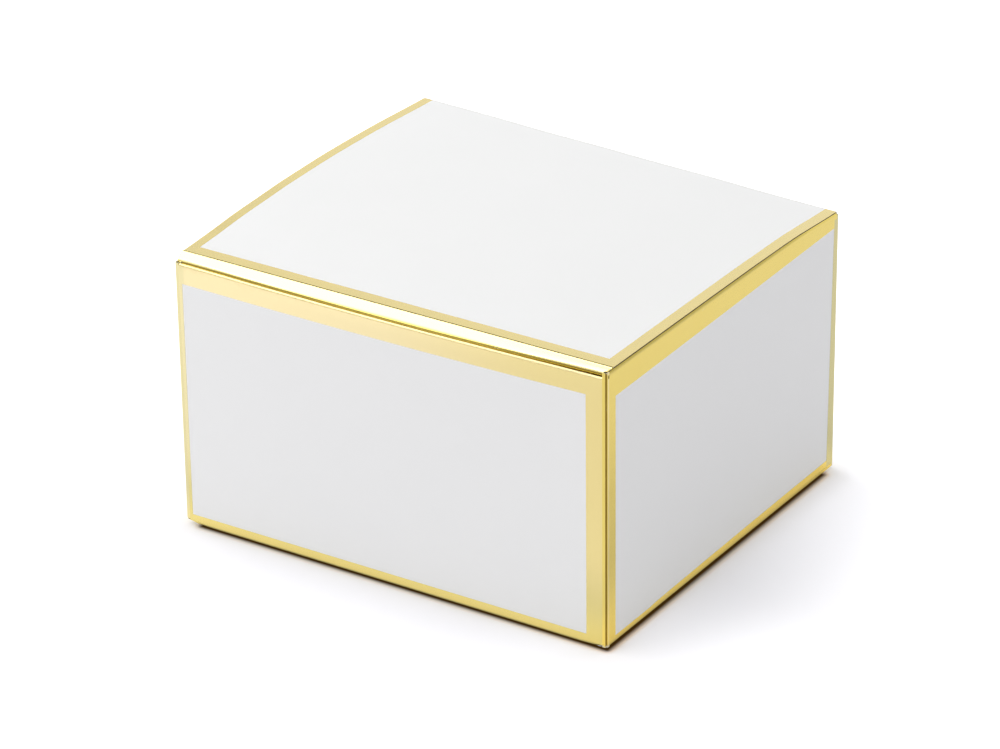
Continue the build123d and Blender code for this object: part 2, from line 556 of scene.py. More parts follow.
def cut_card():
    """The raw edge that the die leaves, with the layers of the board showing."""
    return paper_finish("cut_card_edge", edge_fibres, edge_specks, cut_colours, cut_gloss, cut_relief)


def painted_shade_edge():
    """Painted shade for the lid's side edges beside the walls: nearly black, a little metallic card."""
    return paper_finish(
        "card_edge_painted_shade", edge_fibres, edge_specks, painted_shade_edge_colours, painted_shade_edge_gloss, painted_shade_edge_relief, painted_shade_edge_metal
    )


def coated_card():
    """The printed side: smooth white coating with a soft gloss."""
    material, tree, shader, place = new_finish("coated_white_card")
    paper = effect(tree, card_fibre, place)
    tree.links.new(mix_colours(tree, paper["Cloud"], *card_colours), shader["Base Color"])
    tree.links.new(remap(tree, paper["Cloud"], *cloud_range, *card_gloss), shader["Roughness"])
    relief(tree, shader, paper["Fibre"], card_relief)
    return material


def lid_hinge_card():
    """White card over the lid's fold, with the gold of the lid's side edges running on over its ends."""
    material, tree, shader, place = new_finish("lid_hinge_card")
    paper = effect(tree, card_fibre, place)
    across = split_place(tree, place)["X"]
    left_gold, right_gold = lid_left + lid_left_border, lid_right - lid_right_border
    on_left = remap(tree, across, left_gold - foil, left_gold + foil, 1.0, 0.0)
    on_right = remap(tree, across, right_gold - foil, right_gold + foil, 0.0, 1.0)
    gilt = combine(tree, "MAXIMUM", on_left, on_right)
    card = mix_colours(tree, paper["Cloud"], *card_colours)
    gloss = remap(tree, paper["Cloud"], *cloud_range, *card_gloss)
    tree.links.new(mix_colours(tree, gilt, card, gold_light), shader["Base Color"])
    tree.links.new(gilt, shader["Metallic"])
    tree.links.new(mix_values(tree, gilt, gloss, hinge_gold_gloss), shader["Roughness"])
    relief(tree, shader, paper["Fibre"], card_relief)
    return material


def dried_glue():
    """The thin line of glue that holds the seam."""
    material, tree, shader, place = new_finish("dried_seam_glue")
    streaks = noise(tree, place, glue_streaks, detail=3.0)
    tree.links.new(mix_colours(tree, streaks, *glue_colours), shader["Base Color"])
    tree.links.new(remap(tree, streaks, *streak_range, *glue_gloss), shader["Roughness"])
    relief(tree, shader, streaks, glue_relief)
    return material


# Finishes of the gold, each a light and a deep tone


gold_light = (0.905, 0.765, 0.355)
front_tones = (gold_light, (0.86, 0.705, 0.295))
# Deeper gold: painted shade for the sides and their folds, which mirror the floor in the box's shadow
painted_shade_side_tones = ((0.885, 0.715, 0.205), (0.84, 0.655, 0.155))
lip_tones = ((0.93, 0.82, 0.48), (0.90, 0.77, 0.40))
# Dull olive gold: painted shade on the right wall's back edge and the back right corner fold
painted_shade_back_tones = ((0.68, 0.62, 0.31), (0.62, 0.56, 0.26))
# Duller gold: painted shade on the front's left border and on the left corner folds
painted_shade_left_tones = ((0.80, 0.72, 0.40), (0.74, 0.66, 0.34))
# Darker gold: painted shade towards the front's foot and on the bottom's hinge fold
painted_shade_foot_tones = ((0.76, 0.66, 0.26), (0.72, 0.60, 0.22))
# Dark gold: painted shade in the scored crease of an upright fold
painted_crease_shade_gold = (0.42, 0.31, 0.07)
# Pale gold: painted highlight on the strip beside the crease
painted_highlight_gold = (0.96, 0.82, 0.56)
# Paler gold: painted reflection to the left of the front
painted_reflection_gold = (0.98, 0.86, 0.62)
# Olive gold: painted shade low on the lid's roll and high on the ridges beside the lid
painted_shade_gold = (0.42, 0.33, 0.08)
worn_card = (0.87, 0.83, 0.70)
haze_range = (0.35, 0.65)
flat_gloss = 0.14
lip_gloss = 0.40
gloss_spread = 0.10
fold_gloss = (0.09, 0.15)
worn_roughness = 0.75
foil_relief = 0.02 * mm
fold_relief = 0.01 * mm
# How far the painted highlight beside a crease goes towards its pale gold
painted_highlight_share = 0.45
crack_stretch = 0.06


def gold_foil(name, tones, gloss=flat_gloss, shades=()):
    """Bright hot foil on the flat borders. Shades paint reflection and shade on it: each a direction, spread
    and gold.
    """
    material, tree, shader, place = new_finish(name)
    light, deep = tones
    ripple = effect(tree, foil_ripple, place)
    gilt = mix_colours(tree, ripple["Haze"], deep, light)
    parts = split_place(tree, place)
    for direction, spread, shade in shades:
        gilt = mix_colours(tree, remap(tree, parts[direction], *spread), gilt, shade)
    tree.links.new(gilt, shader["Base Color"])
    roughness = remap(tree, ripple["Haze"], *haze_range, gloss, gloss + gloss_spread)
    tree.links.new(roughness, shader["Roughness"])
    shader["Metallic"].default_value = 1.0
    relief(tree, shader, ripple["Ripple"], foil_relief)
    return material


def crease_masks(tree, place):
    """The scored line along an upright fold, painted as shade, and the painted highlight on the strip beside
    it.
    """
    parts = split_place(tree, combine_places(tree, "ABSOLUTE", place))
    lead = combine(tree, "SUBTRACT", parts["X"], parts["Y"])
    aside = combine(tree, "SUBTRACT", lead, right_x - back_y)
    score = remap(tree, combine(tree, "ABSOLUTE", aside), crease_width, 2 * crease_width, 1.0, 0.0)
    # A painted highlight on the strip past the score, fading out at its far side
    past_score = remap(tree, aside, 2 * crease_width, 3 * crease_width, 0.0, painted_highlight_share)
    thin = remap(tree, aside, 4 * crease_width, 5 * crease_width, 1.0, 0.0)
    return score, combine(tree, "MULTIPLY", past_score, thin)


def gold_fold(name, direction, tones, middle=0.0, half_length=right_x + mm, scored=False, painted_shade=None):
    """Foil along a fold with hairline cracks, perhaps rubbed ends, and a painted crease or painted shade by
    height.
    """
    material, tree, shader, place = new_finish(name)
    light, deep = tones
    ripple = effect(tree, foil_ripple, place)
    stretch = [crack_stretch if letter == direction else 1.0 for letter in "XYZ"]
    drawn_out = node(tree, "ShaderNodeMapping", {"Vector": place, "Scale": stretch}).outputs[0]
    parts = split_place(tree, place)
    lengths = {"Along": parts[direction], "Middle": middle, "Half length": half_length}
    crack = effect(tree, fold_crack, drawn_out, lengths)["Crack"]
    gilt = mix_colours(tree, ripple["Haze"], deep, light)
    shades = []
    if scored:
        shades = list(zip(crease_masks(tree, place), (painted_crease_shade_gold, painted_highlight_gold)))
    if painted_shade:
        shades = [(remap(tree, parts["Z"], *painted_shade), painted_shade_gold)]
    for mask, shade in shades:
        gilt = mix_colours(tree, mask, gilt, shade)
    gloss = remap(tree, ripple["Haze"], *haze_range, *fold_gloss)
    tree.links.new(mix_colours(tree, crack, gilt, worn_card), shader["Base Color"])
    tree.links.new(combine(tree, "SUBTRACT", 1.0, crack), shader["Metallic"])
    tree.links.new(mix_values(tree, crack, gloss, worn_roughness), shader["Roughness"])
    relief(tree, shader, ripple["Ripple"], fold_relief)
    return material


# Painted reflection and shade on the front gold: paler leftwards, duller on the left border, darker to the
# foot.
front_shades = [
    ("X", (-5 * mm, 28 * mm, 0.40, 0.0), painted_reflection_gold),
    ("X", (-28.9 * mm, -28.3 * mm, 0.80, 0.0), painted_shade_left_tones[0]),
    ("Z", (1.5 * mm, 12 * mm, 0.95, 0.0), painted_shade_foot_tones[0]),
]
# Heights of painted shade: low on the lid's roll, where it dips to the front wall, and high on the ridges
# under the lid
roll_shade = (box_top - 1.12 * mm, box_top - 0.88 * mm, 1.0, 0.0)
ridge_shade = (box_top - 1.05 * mm, box_top - 0.45 * mm, 0.0, 0.8)
rubbed_short = 0.25 * mm
upright_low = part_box("front_right_corner_fold")[0].z - right_drop
upright_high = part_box("front_right_corner_fold")[1].z + right_rise + rubbed_short
upright_middle = (upright_low + upright_high) / 2
upright_half = (upright_high - upright_low) / 2

white = coated_card()
bare = bare_card()
raw = cut_card()
painted_shade_rim = painted_shade_edge()
glue = dried_glue()
gold = gold_foil("gold_foil", front_tones)
front_gold = gold_foil("gold_foil_front", front_tones, shades=front_shades)
painted_shade_back_edge_gold = gold_foil("gold_foil_back_edge_painted_shade", painted_shade_back_tones)
lip_gold = gold_foil("gold_foil_lip", lip_tones, lip_gloss)
# The side walls take the deeper gold of painted shade
painted_shade_side_gold = gold_foil("gold_foil_side_painted_shade", painted_shade_side_tones)
fold_x = gold_fold("gold_fold_across", "X", front_tones)
# The bottom's hinge fold takes the darker gold of painted shade
foot_x = gold_fold("gold_fold_foot", "X", painted_shade_foot_tones)
roll_x = gold_fold("gold_fold_roll", "X", front_tones, painted_shade=roll_shade)
fold_y = gold_fold("gold_fold_side", "Y", painted_shade_side_tones)
ridge_y = gold_fold("gold_fold_ridge", "Y", painted_shade_side_tones, painted_shade=ridge_shade)
# The front right corner fold has the painted crease shade and highlight
fold_z = gold_fold("gold_fold_corner", "Z", painted_shade_side_tones, upright_middle, upright_half, scored=True)
# The left corner folds take the duller gold of painted shade
left_fold_z = gold_fold("gold_fold_left_corner", "Z", painted_shade_left_tones, upright_middle)
# The back right corner fold takes the olive gold of painted shade
back_fold_z = gold_fold("gold_fold_back_corner", "Z", painted_shade_back_tones, upright_middle)
card_finishes = [white, bare, raw]


def hand_in(piece, node_name, body=None, hinge=None):
    """Puts a finished piece on its body, or applies its transform when given a hinge, in place of its CAD
    node.
    """
    pick()
    if hinge:
        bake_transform(piece)
    else:
        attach(piece, body)
    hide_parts(node_name)


# The warp of the lid, its folds and the top of the back wall


def lid_lift(across, deep):
    """How far the lid stands above its flat place: across from the left edge, deep from the front edge."""
    left = lid_lift_front + (lid_lift_back - lid_lift_front) * deep + lid_lift_bow * sin(pi * deep)
    right = -lid_sink_right - lid_sink_back * deep**sink_sharpness
    return left + (right - left) * across


lid_low, lid_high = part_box("lid_panel")
lid_depth = lid_high.y - lid_low.y
lid_left, lid_right = lid_low.x - lid_left_reach, lid_high.x + lid_right_reach
lid_cage_low = Vector((lid_left, lid_low.y, box_top - skin))
lid_cage_high = Vector((lid_right, lid_high.y, box_top))


def warp_with_lid(pieces):
    bend(pieces, lid_cage_low, lid_cage_high, (5, 7, 2), lambda u, v, w: Z * lid_lift(u, v))


def droop_lines(top):
    """Cutting lines along the top of the right side, which has sunk towards the back."""
    lines = []
    for step in range(1, droop_steps + 1):
        deep = step / droop_steps
        fall = sink_sharpness * lid_sink_back * deep ** (sink_sharpness - 1) / lid_depth
        point = Vector((0, lid_low.y + lid_depth * deep, top - lid_sink_back * deep**sink_sharpness))
        lines.append((point, Vector((0, fall, 1)).normalized()))
    return lines


def right_droop(low, high, v):
    """How far the top of the right side has sunk, at a share of the way back along a piece."""
    deep = (low.y + (high.y - low.y) * v - lid_low.y) / lid_depth
    return -lid_sink_back * max(deep, 0) ** sink_sharpness


# Sleeve walls and their gold frames


def window_lines(centre, across, width, height, turn):
    """The edges of a white window as points and outward directions. All but the left may be off square."""
    out = across.cross(Z)
    slope = Matrix.Rotation(turn, 3, out) @ Z
    lean = Matrix.Rotation(-turn, 3, out) @ across
    return [
        (centre + across * width / 2, lean),
        (centre - across * width / 2, -across),
        (centre + Z * height / 2, slope),
        (centre - Z * height / 2, -slope),
    ]


def wall(side, across, borders, turn=0.0):
    """One wall of the sleeve and its foil, as flat sheets: the card's outer face, seen from outside."""
    low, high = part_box(f"{side}_wall")
    out = across.cross(Z)
    middle = (low + high) / 2
    face = max(low.dot(out), high.dot(out))
    middle += out * (face - middle.dot(out))
    width = abs((high - low).dot(across))
    card = panel_sheet(f"{side}_wall_card", middle, across, Z, width, high.z - low.z)
    half = right_x if abs(across.x) else back_y
    left, right, bottom, top = borders
    window = out * face + across * (left - right) / 2 + Z * (bottom + box_top - top) / 2
    lines = window_lines(window, across, 2 * half - left - right, box_top - bottom - top, turn)
    return card, split_foil(f"{side}_wall_gold", card, lines)


def finish_wall(side, card, gold_frame, foil_finish):
    thicken(card, board, -1, card_finishes)
    thicken(gold_frame, foil, 1, [foil_finish])
    hand_in(card, f"{side}_wall", "sleeve")
    hand_in(gold_frame, f"{side}_wall_foil", "sleeve")


def roll_foil_over(gold_frame, face, top):
    """Rolls the foil over the cut top edge of the front wall and a little way down behind it."""
    centre = Vector((0, face + lip_radius, top - lip_radius))
    turns = [pi * step / lip_steps for step in range(lip_steps + 1)]
    path = [centre + Vector((0, -cos(turn), sin(turn))) * lip_radius for turn in turns]
    path.append(path[-1] - Z * lip_inside)
    for here, following in zip(path, path[1:]):
        mark(gold_frame, "EDGE", lambda point: (point - here).yz.length < same_place)
        bpy.ops.mesh.extrude_region_move(TRANSFORM_OT_translate={"value": following - here})
    set_mode("OBJECT")


def front_wall():
    """Bulges towards its free top edge, which the foil rolls over."""
    card, gold_frame = wall("front", X, front_borders)
    low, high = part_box("front_wall")
    for piece in (card, gold_frame):
        cut(piece, [(Vector((0, 0, high.z - lip_radius)), Z)], trim=True)
    roll_foil_over(gold_frame, low.y, high.z)
    bend([card, gold_frame], low, high, (7, 2, 5), lambda u, v, w: -Y * front_bulge * sin(pi * u) * w * w)
    finish_wall("front", card, gold_frame, front_gold)
    refinish(gold_frame, lip_gold, lambda face: face.center.z > high.z - lip_radius)


def right_wall():
    """Droops at its top towards the back and settles at its foot."""
    pieces = wall("right", Y, right_borders, right_window_turn)
    low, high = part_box("right_wall")
    for piece in pieces:
        cut(piece, droop_lines(high.z), trim=True)

    def settle(u, v, w):
        return Vector((side_bulge * sin(pi * v) * sin(pi * w), 0, -side_settle * v * v * (1 - w) ** 3))

    bend(pieces, low, high, (2, 7, 5), settle)
    finish_wall("right", *pieces, painted_shade_side_gold)
    gold_frame = pieces[1]
    middle = (right_borders[2] + box_top - right_borders[3]) / 2
    back_edge = back_y - right_borders[1]

    def at_the_back(face):
        return face.center.y - (face.center.z - middle) * tan(right_window_turn) > back_edge

    # The back edge of the right wall's gold takes the painted shade
    refinish(gold_frame, painted_shade_back_edge_gold, at_the_back)


def left_wall():
    pieces = wall("left", -Y, left_borders)
    low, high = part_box("left_wall")
    bend(pieces, low, high, (2, 7, 5), lambda u, v, w: -X * side_bulge * sin(pi * v) * sin(pi * w))
    finish_wall("left", *pieces, painted_shade_side_gold)


def back_wall():
    """Follows the lid's warp along its top."""
    pieces = wall("back", -X, back_borders)
    low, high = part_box("back_wall")

    def lean(u, v, w):
        return Vector((0, side_bulge * sin(pi * u) * sin(pi * w), lid_lift(u, 1) * w**3))

    bend(pieces, low, high, (5, 2, 5), lean)
    finish_wall("back", *pieces, gold)


# Folds of the sleeve


def upright_fold(node_name, sign_x, sign_y, fold_finish, rise, drop):
    """A fold between two walls, with the crease that scoring leaves along it."""
    low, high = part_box(node_name)
    reach = high.y - low.y
    edge_x = high.x if sign_x > 0 else low.x
    edge_y = high.y if sign_y > 0 else low.y
    corner = Vector((edge_x, edge_y, 0))
    corners = [corner - X * sign_x * reach, corner, corner - Y * sign_y * reach]
    outward = Vector((sign_x, sign_y, 0))
    ends = (low.z - drop, high.z + rise)
    strip = folded_strip(f"{node_name}_strip", Z, ends, corners, upright_round, outward)
    crest = corner - outward * upright_round * (1 - cos(pi / 4))
    for half_width in (crease_width, crease_width / 2):
        mark(strip, "EDGE", lambda point: (point - crest).xy.length < half_width)
        bpy.ops.transform.translate(value=-outward.normalized() * crease_depth)
    set_mode("OBJECT")
    if node_name == "back_right_corner_fold":
        bend([strip], low, high, (2, 2, 5), lambda u, v, w: Z * right_droop(low, high, v) * w**3)
    thicken(strip, skin, -1, [fold_finish, bare, fold_finish])
    hand_in(strip, node_name, "sleeve")


def glue_seam():
    """The flap stuck inside the left wall, and its line of glue."""
    low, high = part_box("glue_flap")
    width = high.y - low.y
    run = width * tan(glue_end_taper)
    root = Vector((low.x, high.y, (low.z + high.z) / 2))
    tab = flap("glue_flap_card", root, Z, -Y, tapered((high.z - low.z) / 2, width, run, run))
    face_outwards(tab, -X)
    thicken(tab, board, -1, card_finishes)
    hand_in(tab, "glue_flap", "sleeve")
    low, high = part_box("seam_glue")
    size = high - low
    middle = Vector((low.x, (low.y + high.y) / 2, (low.z + high.z) / 2))
    line = panel_sheet("seam_glue_line", middle, -Y, Z, size.y, size.z)
    thicken(line, size.x, -1, [glue])
    hand_in(line, "seam_glue", "sleeve")


# Top and bottom closures: modelled at the top, and turned over for the bottom


def dust_corner_fold(prefix, side, sign):
    """The fold between a side wall and its dust flap, with a ridge beside the lid and at the lower right."""
    node_name = f"{prefix}_{side}_dust_fold"
    low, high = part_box(f"top_{side}_dust_fold")
    radius = high.x - low.x
    corner = Vector((high.x if sign > 0 else low.x, 0, high.z))
    foot, inner = corner - Z * radius, corner - X * sign * radius
    outward = Vector((sign, 0, 1))
    crest, leg, thickness = corner, radius * fold_round_share, skin
    start_y, fold_finish = low.y, fold_y
    beside_lid = prefix == "top"
    settled = (prefix, side) == ("bottom", "right")
    if beside_lid or settled:
        crest = foot + Z * (ridge_height if beside_lid else settled_height)
        leg, thickness = ridge_round, ridge_skin
    if beside_lid:
        start_y, fold_finish = low.y - ridge_reach, ridge_y
    strip = folded_strip(f"{node_name}_strip", Y, (start_y, high.y), [foot, crest, inner], leg, outward)
    if beside_lid:
        ridge_start = Vector((0, start_y, foot.z + (right_rise if side == "right" else -ridge_reach)))
        cut(strip, [(ridge_start, Vector((0, -1, 1)).normalized())], trim=True)
    if settled:
        top = Vector((high.x, high.y, crest.z))
        bend([strip], low, top, (2, 7, 2), lambda u, v, w: Z * side_settle * (1 - v) ** 2 * (1 - w) * u)
    thicken(strip, thickness, -1, [fold_finish, bare, fold_finish])
    start, end = foot, inner
    if prefix == "bottom":
        start, end = turn_over(strip, start, end)
    hand_in(strip, node_name, hinge=("sleeve", f"{prefix}_{side}_dust_flap", start, end))
    # This warp moves the fold's whole section, so it comes after the piece is put in place.
    if (prefix, side) == ("top", "right"):
        bend([strip], low, high, (2, 7, 2), lambda u, v, w: Z * right_droop(low, high, v))


def dust_flap(prefix, side, sign):
    """A dust flap, cut back more on the side of the lid's hinge, which sags a little inside the box."""
    node_name = f"{prefix}_{side}_dust_flap"
    low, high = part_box(f"top_{side}_dust_flap")
    length = high.x - low.x
    root = Vector((high.x if sign > 0 else low.x, (low.y + high.y) / 2, high.z))
    runs = [length * tan(taper) for taper in (dust_tuck_taper, dust_hinge_taper)]
    points = tapered((high.y - low.y) / 2, length, *(runs if sign > 0 else reversed(runs)))
    piece = flap(f"{node_name}_card", root, Y * sign, -X * sign, points, dust_corner)

    def sag(u, v, w):
        out = 1 - u if sign > 0 else u
        droop = right_droop(low, high, v) if node_name == "top_right_dust_flap" else 0
        return Z * (droop * (1 - out) - flap_sag * out * out)

    bend([piece], low, high, (5, 7, 2), sag)
    thicken(piece, board, -1, card_finishes)
    if prefix == "bottom":
        turn_over(piece)
    hand_in(piece, node_name, node_name)


def closing_hinge(node_name, panel, finishes, warped):
    """The fold between a wall and the panel that closes over it."""
    low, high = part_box("lid_hinge_fold")
    radius = high.y - low.y
    corner = Vector((0, high.y, high.z))
    corners = [corner - Y * radius, corner, corner - Z * radius]
    ends = (low.x - hinge_reach, high.x + hinge_reach)
    strip = folded_strip(f"{node_name}_strip", X, ends, corners, radius * fold_round_share, Y + Z)
    if not warped:
        cage = [Vector((end, side.y, side.z)) for end, side in zip(ends, (low, high))]

        def round_corners(u, v, w):
            return -Z * corner_lift * abs(2 * u - 1) ** corner_sharpness * w

        bend([strip], *cage, (corner_sharpness + 1, 2, 2), round_corners)
    thicken(strip, skin, -1, finishes)
    start, end = corners[-1], corners[0]
    if not warped:
        start, end = turn_over(strip, start, end)
    hand_in(strip, node_name, hinge=("sleeve", panel, start, end))
    if warped:
        warp_with_lid([strip])


def tuck_place():
    """Where the rolled fold ends and the tuck flap begins, and the way the flap runs."""
    low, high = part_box("lid_tuck_fold")
    radius = high.y - low.y
    centre = Vector((0, high.y, high.z - radius))
    away = Vector((0, -cos(tuck_lean), -sin(tuck_lean)))
    return centre, radius, away, Vector((0, sin(tuck_lean), -cos(tuck_lean)))


def fill_the_edge(u, v, w):
    """How the lid's roll swells in its middle and spreads at its two ends to fill the front edge."""
    middle = sin(pi * u)
    shrink = roll_left_shrink if u < 0.5 else roll_right_shrink
    inwards = shrink * (1 - middle) - roll_bulge * middle
    left, right = min(2 * u - 1, 0), max(2 * u - 1, 0)
    outwards = roll_left_spread * left + roll_right_spread * right * (1 + w) / 2
    return Vector((outwards, inwards * (1 - w), 0))


def tuck_roll(panel, warped):
    """The wide rolled fold between a closing panel and its tuck flap."""
    node_name = f"{panel}_tuck_fold"
    low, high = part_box("lid_tuck_fold")
    centre, radius, away, _ = tuck_place()
    leg = radius * tan((pi / 2 + tuck_lean) / 2)
    start = centre + Z * radius
    end = centre + away * radius
    corners = [start, start - Y * leg, end]
    strip = folded_strip(
        f"{node_name}_strip", X, (low.x, high.x), corners, leg * roll_round_share, Z - Y, roll_roundness
    )
    if warped:
        bend([strip], low, high, (7, 2, 3), fill_the_edge)
        warp_with_lid([strip])
    fold_finish = roll_x if warped else fold_x
    thicken(strip, skin, -1, [fold_finish, bare, fold_finish])
    if not warped:
        start, end = turn_over(strip, start, end)
    hand_in(strip, node_name, hinge=(panel, f"{panel}_tuck", start, end))


def tuck_flap(panel, warped):
    """The flap that slips in behind the opposite wall, with gold over its root."""
    centre, radius, away, down = tuck_place()
    low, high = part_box("lid_tuck_flap")
    root = centre + away * (radius - foil)
    points = tapered(high.x, tuck_length, tuck_taper, tuck_taper)
    card = flap(f"{panel}_tuck_flap_card", root, -X, down, points, tuck_corner)
    bleed = split_foil(f"{panel}_tuck_gold", card, [(root + down * tuck_foil_width, -down)])
    if warped:
        bend([card, bleed], low, high, (7, 2, 3), lambda u, v, w: -Y * roll_bulge * sin(pi * u) * w)
        warp_with_lid([card, bleed])
    thicken(card, board, -1, card_finishes)
    thicken(bleed, foil, 1, [gold])
    for piece, node_name, slot in (
        (card, f"{panel}_tuck_flap", "white_card"),
        (bleed, f"{panel}_tuck_foil", "gold_foil"),
    ):
        if not warped:
            turn_over(piece)
        hand_in(piece, node_name, f"{panel}_tuck")


def lid():
    """The lid and its gold edges, with none along the hinge."""
    middle = Vector((0, (lid_low.y + lid_high.y) / 2, box_top - foil))
    card = panel_sheet("lid_card", middle, X, Y, lid_right - lid_left, lid_depth)
    lines = [
        (Vector((lid_left + lid_left_border, 0, 0)), -X),
        (Vector((lid_right - lid_right_border, 0, 0)), X),
        (Vector((0, lid_low.y + lid_front_border, 0)), -Y),
    ]
    gold_edge = split_foil("lid_gold", card, lines)
    warp_with_lid([card, gold_edge])
    thicken(card, board, -1, card_finishes)
    # The lid's side edges get the painted shade
    refinish(card, painted_shade_rim, lambda face: abs(face.normal.x) > sideways)
    thicken(gold_edge, foil, 1, [gold])
    hand_in(card, "lid_panel", "lid")
    hand_in(gold_edge, "lid_foil", "lid")


def bottom():
    """The plain panel that the box stands on, clear of the rounded ends of its hinge."""
    low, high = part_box("bottom_panel")
    middle = Vector(((low.x + high.x) / 2, (low.y + high.y) / 2, low.z))
    width, depth = high.x - low.x - 2 * bottom_recess, high.y - low.y
    card = panel_sheet("bottom_card", middle, X, -Y, width, depth)
    thicken(card, board, -1, card_finishes)
    hand_in(card, "bottom_panel", "bottom")


front_wall()
right_wall()
left_wall()
back_wall()
upright_fold("front_right_corner_fold", 1, -1, fold_z, right_rise, right_drop)
upright_fold("front_left_corner_fold", -1, -1, left_fold_z, left_rise, left_drop)
upright_fold("back_right_corner_fold", 1, 1, back_fold_z, back_rise, back_drop)
upright_fold("seam_corner_fold", -1, 1, left_fold_z, seam_rise, seam_drop)
glue_seam()
for prefix in ("top", "bottom"):
    for side, sign in (("left", -1), ("right", 1)):
        dust_corner_fold(prefix, side, sign)
        dust_flap(prefix, side, sign)
lid()
bottom()
closing_hinge("lid_hinge_fold", "lid", [lid_hinge_card(), bare, raw], True)
closing_hinge("bottom_hinge_fold", "bottom", [foot_x, bare, foot_x], False)
for panel, warped in (("lid", True), ("bottom", False)):
    tuck_roll(panel, warped)
    tuck_flap(panel, warped)


# Studio: pale floor, grey card, white surroundings, two soft lights overhead and the camera


# The painted contact shadow under the box, in from its left, right, front and back, and its colour
shadow_insets = (2.2 * mm, 0.2 * mm, 0.37 * mm, 2.5 * mm)
painted_shadow_colour = (0.04, 0.02, 0.005)
# A brown glow close to the box's foot: the painted shadow's colour where the foil mirrors it
painted_shadow_glow = (1, 0.45, 0.02)
floor_colour = (0.818, 0.812, 0.838)
floor_glow = (0.97, 0.97, 1)
# A golden glow beside the box's foot that only the foil shows: a painted reflection
foot_glow = (1, 0.84, 0.42)
foot_glow_strength = 0.30

# How the floor changes with distance from the box: from one distance to another, and what it has at each
painted_shadow_spread = (0.0, 0.8 * mm, 0.0, 1.0)
glow_hue_spread = (0.3 * mm, 1.4 * mm, 0.0, 1.0)
near_glow_spread = (0.4 * mm, 1.2 * mm, 0.03, 0.20)
wide_glow_spread = (0.0, 26 * mm, 0.0, 0.29)
far_glow_spread = (60 * mm, 600 * mm, 0.0, 0.20)
foot_glow_spread = (2 * mm, 12 * mm, 1.0, 0.0)
back_shelter_spread = (0.8 * mm, 5 * mm, 0.35, 1.0)

# The same from front to back or from left to right
back_glow_along_y = (-8 * mm, 30 * mm, 0.0, 0.22)
corner_glow_along_x = (10 * mm, 34 * mm, 0.0, 0.14)
corner_glow_along_y = (-25 * mm, -5 * mm, 1.0, 0.0)
# In the foil the floor is painted brighter to the left: a painted reflection
in_foil_along_x = (-75 * mm, -5 * mm, 0.58, 0.24)
bounce_share = 0.35
floor_size = 6.0
floor_drop = 0.05 * mm
floor_roughness = 0.9
floor_specular = 0.1
short_ray = 0.2 * mm


def floor_cover(tree, rays):
    """Solid from above, clear from below. Short rays pass, so that the panel close over it isn't black."""
    below = node(tree, "ShaderNodeNewGeometry").outputs["Backfacing"]
    above = combine(tree, "SUBTRACT", 1.0, below)
    close = combine(tree, "LESS_THAN", rays["Ray Length"], short_ray)
    under = combine(tree, "MULTIPLY", close, rays["Is Diffuse Ray"])
    return combine(tree, "SUBTRACT", above, under, clamp=True)


def distance_from_box(tree, place):
    """How far a place on the floor lies outside the dark contact under the box."""
    left, right, front, back = shadow_insets
    middle = ((left - right) / 2, (front - back) / 2, 0)
    half_size = (right_x - (left + right) / 2, back_y - (front + back) / 2, 0)
    apart = combine_places(tree, "ABSOLUTE", combine_places(tree, "SUBTRACT", place, middle))
    outside = combine_places(tree, "MAXIMUM", combine_places(tree, "SUBTRACT", apart, half_size))
    return node(tree, "ShaderNodeVectorMath", {0: outside}, operation="LENGTH").outputs["Value"]


def floor_light(tree, parts, distance, clear_of_box):
    """Painted light: the floor's glow, weak near the box, stronger behind it and at its front right corner.
    """
    near = remap(tree, distance, *near_glow_spread)
    wide = remap(tree, distance, *wide_glow_spread)
    far = remap(tree, distance, *far_glow_spread)
    to_back = remap(tree, parts["Y"], *back_glow_along_y)
    behind = combine(tree, "MULTIPLY", to_back, remap(tree, distance, *back_shelter_spread))
    to_right = remap(tree, parts["X"], *corner_glow_along_x)
    in_front = remap(tree, parts["Y"], *corner_glow_along_y)
    round_box = combine(tree, "MULTIPLY_ADD", to_right, in_front, behind)
    close_by = combine(tree, "ADD", near, combine(tree, "MULTIPLY", round_box, clear_of_box))
    return combine(tree, "ADD", combine(tree, "ADD", close_by, wide), far)


def floor():
    """White to the camera, with a painted shadow under the box; weaker in bounced light, and painted
    reflection in the foil.
    """
    pick()
    bpy.ops.mesh.primitive_plane_add(size=floor_size, location=(0, 0, -floor_drop))
    ground = bpy.context.object
    ground.name = "studio_floor"
    material, tree, shader, place = new_finish("studio_floor")
    shader["Roughness"].default_value = floor_roughness
    shader["Specular IOR Level"].default_value = floor_specular
    rays = node(tree, "ShaderNodeLightPath").outputs
    tree.links.new(floor_cover(tree, rays), shader["Alpha"])
    parts = split_place(tree, place)
    distance = distance_from_box(tree, place)
    clear_of_box = remap(tree, distance, *painted_shadow_spread)
    # Painted shadow: the floor turns nearly black right under the box
    tree.links.new(mix_colours(tree, clear_of_box, painted_shadow_colour, floor_colour), shader["Base Color"])
    in_foil = remap(tree, parts["X"], *in_foil_along_x)
    bounce = combine(tree, "MULTIPLY_ADD", rays["Is Diffuse Ray"], bounce_share, rays["Is Glossy Ray"])
    seen = combine(tree, "MULTIPLY_ADD", bounce, in_foil, rays["Is Camera Ray"])
    glow = combine(tree, "MULTIPLY", seen, floor_light(tree, parts, distance, clear_of_box))
    beside = remap(tree, distance, *glow_hue_spread)
    hue = mix_colours(tree, beside, painted_shadow_glow, floor_glow)
    # Painted reflection: a golden glow by the foot, seen only in the foil
    along_foot = remap(tree, distance, *foot_glow_spread)
    mirrored = combine(tree, "MULTIPLY", along_foot, rays["Is Glossy Ray"])
    golden = combine(tree, "MULTIPLY", mirrored, beside)
    strength = combine(tree, "MULTIPLY_ADD", golden, foot_glow_strength, glow)
    tree.links.new(mix_colours(tree, golden, hue, foot_glow), shader["Emission Color"])
    tree.links.new(strength, shader["Emission Strength"])
    ground.data.materials.append(material)


